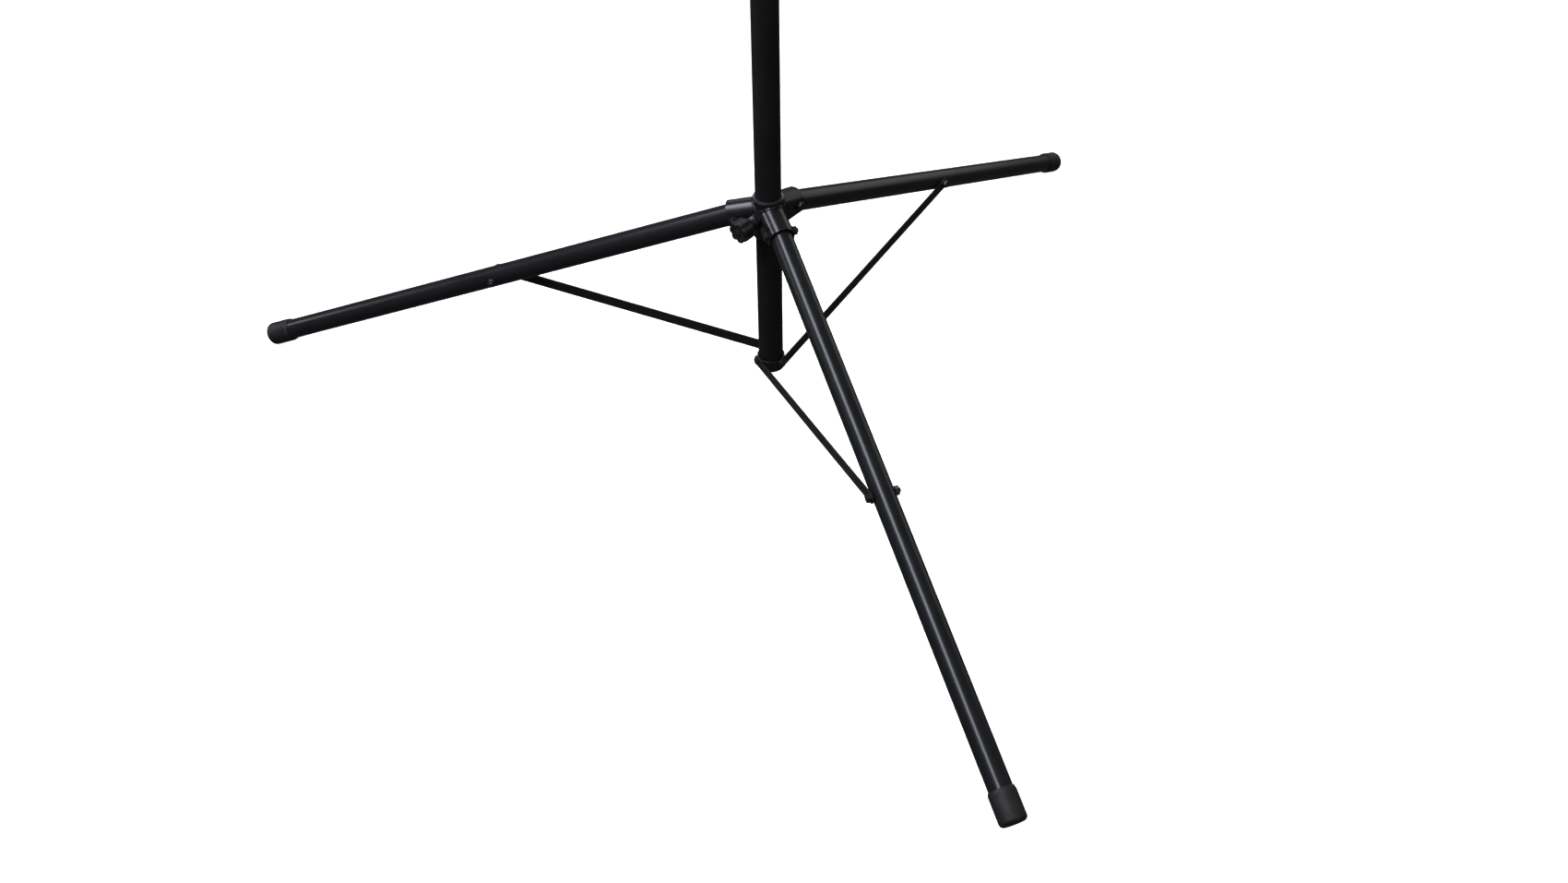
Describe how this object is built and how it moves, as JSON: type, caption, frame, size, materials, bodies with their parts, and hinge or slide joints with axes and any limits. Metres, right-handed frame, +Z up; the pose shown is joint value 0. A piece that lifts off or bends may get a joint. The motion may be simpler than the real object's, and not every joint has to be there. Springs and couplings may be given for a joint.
{
  "type": "music stand",
  "caption": "Folding black music stand: tube legs hinged on a sliding hub and tied to a collar by flat braces, telescoping mast and a tilting sheet-metal desk with a ledge.",
  "frame": {"origin": "on the post's axis at floor level", "axes": "+Z up along the post, -Y towards the player and along the front leg, +X to the player's right"},
  "size_m": [0.9912, 0.8613, 1.1615],
  "materials": {
    "post_paint": "semi-gloss black paint",
    "leg_paint": "semi-gloss black paint",
    "hub_paint": "semi-gloss black paint",
    "mast_paint": "semi-gloss black paint",
    "bracket_paint": "satin black paint",
    "brace_paint": "matt black paint",
    "desk_paint": "fine-textured satin black paint",
    "foot_rubber": "matt black rubber",
    "black_plastic": "matt black plastic",
    "knob_plastic": "fine-grained black plastic",
    "fastener": "blackened steel"
  },
  "bodies": {
    "post": {"post_tube": "post_paint", "brace_collar": "bracket_paint", "post_plug": "black_plastic", "brace_rivets": "fastener", "height_clamp": "black_plastic", "mast_guide": "black_plastic"},
    "hub": {"hub_sleeve": "hub_paint", "hub_liner": "black_plastic", "hub_boss": "hub_paint", "socket_front": "hub_paint", "socket_right": "hub_paint", "socket_left": "hub_paint", "leg_pivot_bolts": "fastener", "leg_pivot_nuts": "fastener"},
    "hub_clamp_knob": {"hub_knob": "knob_plastic", "hub_screw": "fastener"},
    "mast": {"mast_tube": "mast_paint", "mast_glide": "black_plastic", "tilt_head": "hub_paint", "tilt_washers": "black_plastic"},
    "height_clamp_knob": {"height_knob": "knob_plastic", "height_screw": "fastener"},
    "desk": {"desk_panel": "desk_paint", "desk_bracket": "bracket_paint", "desk_rivets": "fastener", "tilt_bolt": "fastener"},
    "desk_tilt_knob": {"tilt_knob": "knob_plastic"},
    "front_leg": {"leg_front": "leg_paint", "foot_front": "foot_rubber", "brace_bolt_front": "fastener", "brace_nut_front": "fastener"},
    "front_brace": {"brace_front": "brace_paint", "brace_head_front": "fastener"},
    "right_leg": {"leg_right": "leg_paint", "foot_right": "foot_rubber", "brace_bolt_right": "fastener", "brace_nut_right": "fastener"},
    "right_brace": {"brace_right": "brace_paint", "brace_head_right": "fastener"},
    "left_leg": {"leg_left": "leg_paint", "foot_left": "foot_rubber", "brace_bolt_left": "fastener", "brace_nut_left": "fastener"},
    "left_brace": {"brace_left": "brace_paint", "brace_head_left": "fastener"}
  },
  "joints": [
    {"name": "hub_slide", "type": "slide", "parent": "post", "child": "hub", "axis": [0, 0, 1], "range_m": [0, 0.39818]},
    {"name": "front_leg_fold", "type": "hinge", "parent": "hub", "child": "front_leg", "pos_m": [0, -0.03175, 0.22911], "axis": [1, 0, 0], "range_deg": [0, 67.7]},
    {"name": "front_brace_fold", "type": "hinge", "parent": "post", "child": "front_brace", "pos_m": [-0.01525, 0, 0.05131], "axis": [-1, 0, 0], "range_deg": [0, 69.96]},
    {"name": "right_leg_fold", "type": "hinge", "parent": "hub", "child": "right_leg", "pos_m": [0.0275, 0.01588, 0.22911], "axis": [-0.5, 0.866, 0], "range_deg": [0, 67.7]},
    {"name": "right_brace_fold", "type": "hinge", "parent": "post", "child": "right_brace", "pos_m": [0.00762, -0.01321, 0.05131], "axis": [0.5, -0.866, 0], "range_deg": [0, 69.96]},
    {"name": "left_leg_fold", "type": "hinge", "parent": "hub", "child": "left_leg", "pos_m": [-0.0275, 0.01588, 0.22911], "axis": [-0.5, -0.866, 0], "range_deg": [0, 67.7]},
    {"name": "left_brace_fold", "type": "hinge", "parent": "post", "child": "left_brace", "pos_m": [0.00762, 0.01321, 0.05131], "axis": [0.5, 0.866, 0], "range_deg": [0, 69.96]},
    {"name": "hub_knob_turn", "type": "hinge", "parent": "hub", "child": "hub_clamp_knob", "pos_m": [-0.03031, -0.0175, 0.23311], "axis": [-0.866, -0.5, 0], "range_deg": [0, 540]},
    {"name": "mast_slide", "type": "slide", "parent": "post", "child": "mast", "axis": [0, 0, 1], "range_m": [-0.2, 0.2]},
    {"name": "height_knob_turn", "type": "hinge", "parent": "post", "child": "height_clamp_knob", "pos_m": [0, 0.035, 0.681], "axis": [0, 1, 0], "range_deg": [0, 540]},
    {"name": "desk_tilt", "type": "hinge", "parent": "mast", "child": "desk", "pos_m": [0, 0, 0.975], "axis": [-1, 0, 0], "range_deg": [-20, 65]},
    {"name": "tilt_knob_turn", "type": "hinge", "parent": "desk", "child": "desk_tilt_knob", "pos_m": [0.02, 0, 0.975], "axis": [1, 0, 0], "range_deg": [0, 540]}
  ],
  "couplings": [
    {"joint": "front_leg_fold", "follows": "hub_slide", "rad_per_m": 2.9674},
    {"joint": "front_brace_fold", "follows": "hub_slide", "rad_per_m": 3.0666},
    {"joint": "right_leg_fold", "follows": "hub_slide", "rad_per_m": 2.9674},
    {"joint": "right_brace_fold", "follows": "hub_slide", "rad_per_m": 3.0666},
    {"joint": "left_leg_fold", "follows": "hub_slide", "rad_per_m": 2.9674},
    {"joint": "left_brace_fold", "follows": "hub_slide", "rad_per_m": 3.0666}
  ]
}
